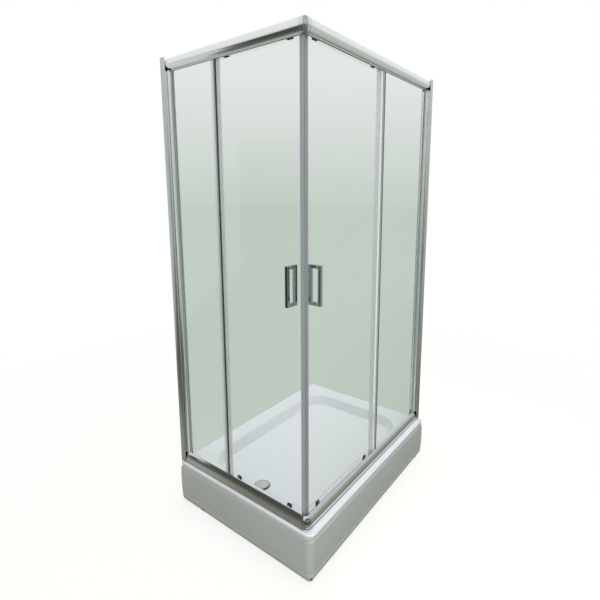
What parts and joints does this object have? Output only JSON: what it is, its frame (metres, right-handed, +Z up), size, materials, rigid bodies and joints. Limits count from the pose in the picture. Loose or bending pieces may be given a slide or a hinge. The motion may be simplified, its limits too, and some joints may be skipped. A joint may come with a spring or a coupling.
{
  "type": "corner shower enclosure with sliding doors",
  "caption": "Rectangular corner shower enclosure: bright framed glass with sliding doors that meet at the corner, on a white aproned tray.",
  "frame": {"origin": "centre of the tray's outline, on the floor under the feet", "axes": "+Z up; the short glazed side faces -Y, the long glazed side faces +X, the open edges at -X and +Y stand against the walls"},
  "size_m": [0.8, 1.1, 2.093],
  "materials": {
    "adjusting_profile": "bright satin",
    "apron_acrylic": "gloss white acrylic",
    "black_nylon": "moulded",
    "chrome": "chrome plated",
    "clear_glass": "clear with a pale green tint",
    "clear_seal": "clear flexible strip",
    "dark_rubber": "matt",
    "dark_trim": "dark grey edge strip",
    "drain_plastic": "moulded",
    "galvanised": "galvanised",
    "magnet_strip": "grey magnetic strip",
    "polished_frame": "bright polished",
    "steel": "bright zinc",
    "tray_acrylic": "gloss white acrylic",
    "wheel_nylon": "moulded"
  },
  "bodies": {
    "root": {"apron": "apron_acrylic", "apron_brackets": "black_nylon", "apron_screws": "black_nylon", "bottom_corner_connector": "chrome", "door_stops": "dark_rubber", "drain_flange": "chrome", "drain_gasket": "dark_rubber", "drain_trap": "drain_plastic", "foot_nuts": "steel", "foot_pads": "black_nylon", "foot_rods": "steel", "frame_screws": "steel", "front_bottom_rail": "polished_frame", "front_fixed_glass": "clear_glass", "front_fixed_trim": "dark_trim", "front_glass_gasket": "dark_rubber", "front_inner_profile": "adjusting_profile", "front_rail_gaskets": "clear_seal", "front_top_rail": "polished_frame", "front_wall_profile": "polished_frame", "side_bottom_rail": "polished_frame", "side_fixed_glass": "clear_glass", "side_fixed_trim": "dark_trim", "side_glass_gasket": "dark_rubber", "side_inner_profile": "adjusting_profile", "side_rail_gaskets": "clear_seal", "side_top_rail": "polished_frame", "side_wall_profile": "polished_frame", "support_frame": "galvanised", "top_corner_connector": "chrome", "tray": "tray_acrylic"},
    "front_door": {"front_door_axles": "steel", "front_door_bottom_guides": "black_nylon", "front_door_clamp_screws": "steel", "front_door_glass": "clear_glass", "front_door_handle_bolts": "steel", "front_door_inner_handle": "chrome", "front_door_magnet_seal": "magnet_strip", "front_door_outer_handle": "chrome", "front_door_top_brackets": "black_nylon", "front_door_trailing_seal": "clear_seal"},
    "side_door": {"side_door_axles": "steel", "side_door_bottom_guides": "black_nylon", "side_door_clamp_screws": "steel", "side_door_glass": "clear_glass", "side_door_handle_bolts": "steel", "side_door_inner_handle": "chrome", "side_door_magnet_seal": "magnet_strip", "side_door_outer_handle": "chrome", "side_door_top_brackets": "black_nylon", "side_door_trailing_seal": "clear_seal"},
    "drain_cover": {"drain_cover": "chrome"},
    "front_lead_guide_wheel": {"front_lead_guide_wheel": "wheel_nylon"},
    "front_lead_top_wheel": {"front_lead_top_wheel": "wheel_nylon"},
    "front_trail_guide_wheel": {"front_trail_guide_wheel": "wheel_nylon"},
    "front_trail_top_wheel": {"front_trail_top_wheel": "wheel_nylon"},
    "side_lead_guide_wheel": {"side_lead_guide_wheel": "wheel_nylon"},
    "side_lead_top_wheel": {"side_lead_top_wheel": "wheel_nylon"},
    "side_trail_guide_wheel": {"side_trail_guide_wheel": "wheel_nylon"},
    "side_trail_top_wheel": {"side_trail_top_wheel": "wheel_nylon"}
  },
  "joints": [
    {"name": "front_door_slide", "type": "slide", "parent": "root", "child": "front_door", "axis": [-1, 0, 0], "range_m": [0, 0.253]},
    {"name": "side_door_slide", "type": "slide", "parent": "root", "child": "side_door", "axis": [0, 1, 0], "range_m": [0, 0.452]},
    {"name": "drain_cover_lift", "type": "slide", "parent": "root", "child": "drain_cover", "axis": [0, 0, 1], "range_m": [0, 0.04]},
    {"name": "front_lead_guide_wheel_spin", "type": "hinge", "parent": "front_door", "child": "front_lead_guide_wheel", "pos_m": [0.262, -0.503, 0.2463], "axis": [0, -1, 0], "range_deg": [0, 1812]},
    {"name": "front_lead_top_wheel_spin", "type": "hinge", "parent": "front_door", "child": "front_lead_top_wheel", "pos_m": [0.284, -0.503, 2.0688], "axis": [0, -1, 0], "range_deg": [0, 1812]},
    {"name": "front_trail_guide_wheel_spin", "type": "hinge", "parent": "front_door", "child": "front_trail_guide_wheel", "pos_m": [-0.026, -0.503, 0.2463], "axis": [0, -1, 0], "range_deg": [0, 1812]},
    {"name": "front_trail_top_wheel_spin", "type": "hinge", "parent": "front_door", "child": "front_trail_top_wheel", "pos_m": [-0.026, -0.503, 2.0688], "axis": [0, -1, 0], "range_deg": [0, 1812]},
    {"name": "side_lead_guide_wheel_spin", "type": "hinge", "parent": "side_door", "child": "side_lead_guide_wheel", "pos_m": [0.338, -0.427, 0.2463], "axis": [-1, 0, 0], "range_deg": [0, 3238]},
    {"name": "side_lead_top_wheel_spin", "type": "hinge", "parent": "side_door", "child": "side_lead_top_wheel", "pos_m": [0.338, -0.449, 2.0688], "axis": [-1, 0, 0], "range_deg": [0, 3238]},
    {"name": "side_trail_guide_wheel_spin", "type": "hinge", "parent": "side_door", "child": "side_trail_guide_wheel", "pos_m": [0.338, -0.039, 0.2463], "axis": [-1, 0, 0], "range_deg": [0, 3238]},
    {"name": "side_trail_top_wheel_spin", "type": "hinge", "parent": "side_door", "child": "side_trail_top_wheel", "pos_m": [0.338, -0.039, 2.0688], "axis": [-1, 0, 0], "range_deg": [0, 3238]}
  ],
  "couplings": [
    {"joint": "front_lead_guide_wheel_spin", "follows": "front_door_slide", "rad_per_m": 125},
    {"joint": "front_lead_top_wheel_spin", "follows": "front_door_slide", "rad_per_m": 125},
    {"joint": "front_trail_guide_wheel_spin", "follows": "front_door_slide", "rad_per_m": 125},
    {"joint": "front_trail_top_wheel_spin", "follows": "front_door_slide", "rad_per_m": 125},
    {"joint": "side_lead_guide_wheel_spin", "follows": "side_door_slide", "rad_per_m": 125},
    {"joint": "side_lead_top_wheel_spin", "follows": "side_door_slide", "rad_per_m": 125},
    {"joint": "side_trail_guide_wheel_spin", "follows": "side_door_slide", "rad_per_m": 125},
    {"joint": "side_trail_top_wheel_spin", "follows": "side_door_slide", "rad_per_m": 125}
  ]
}
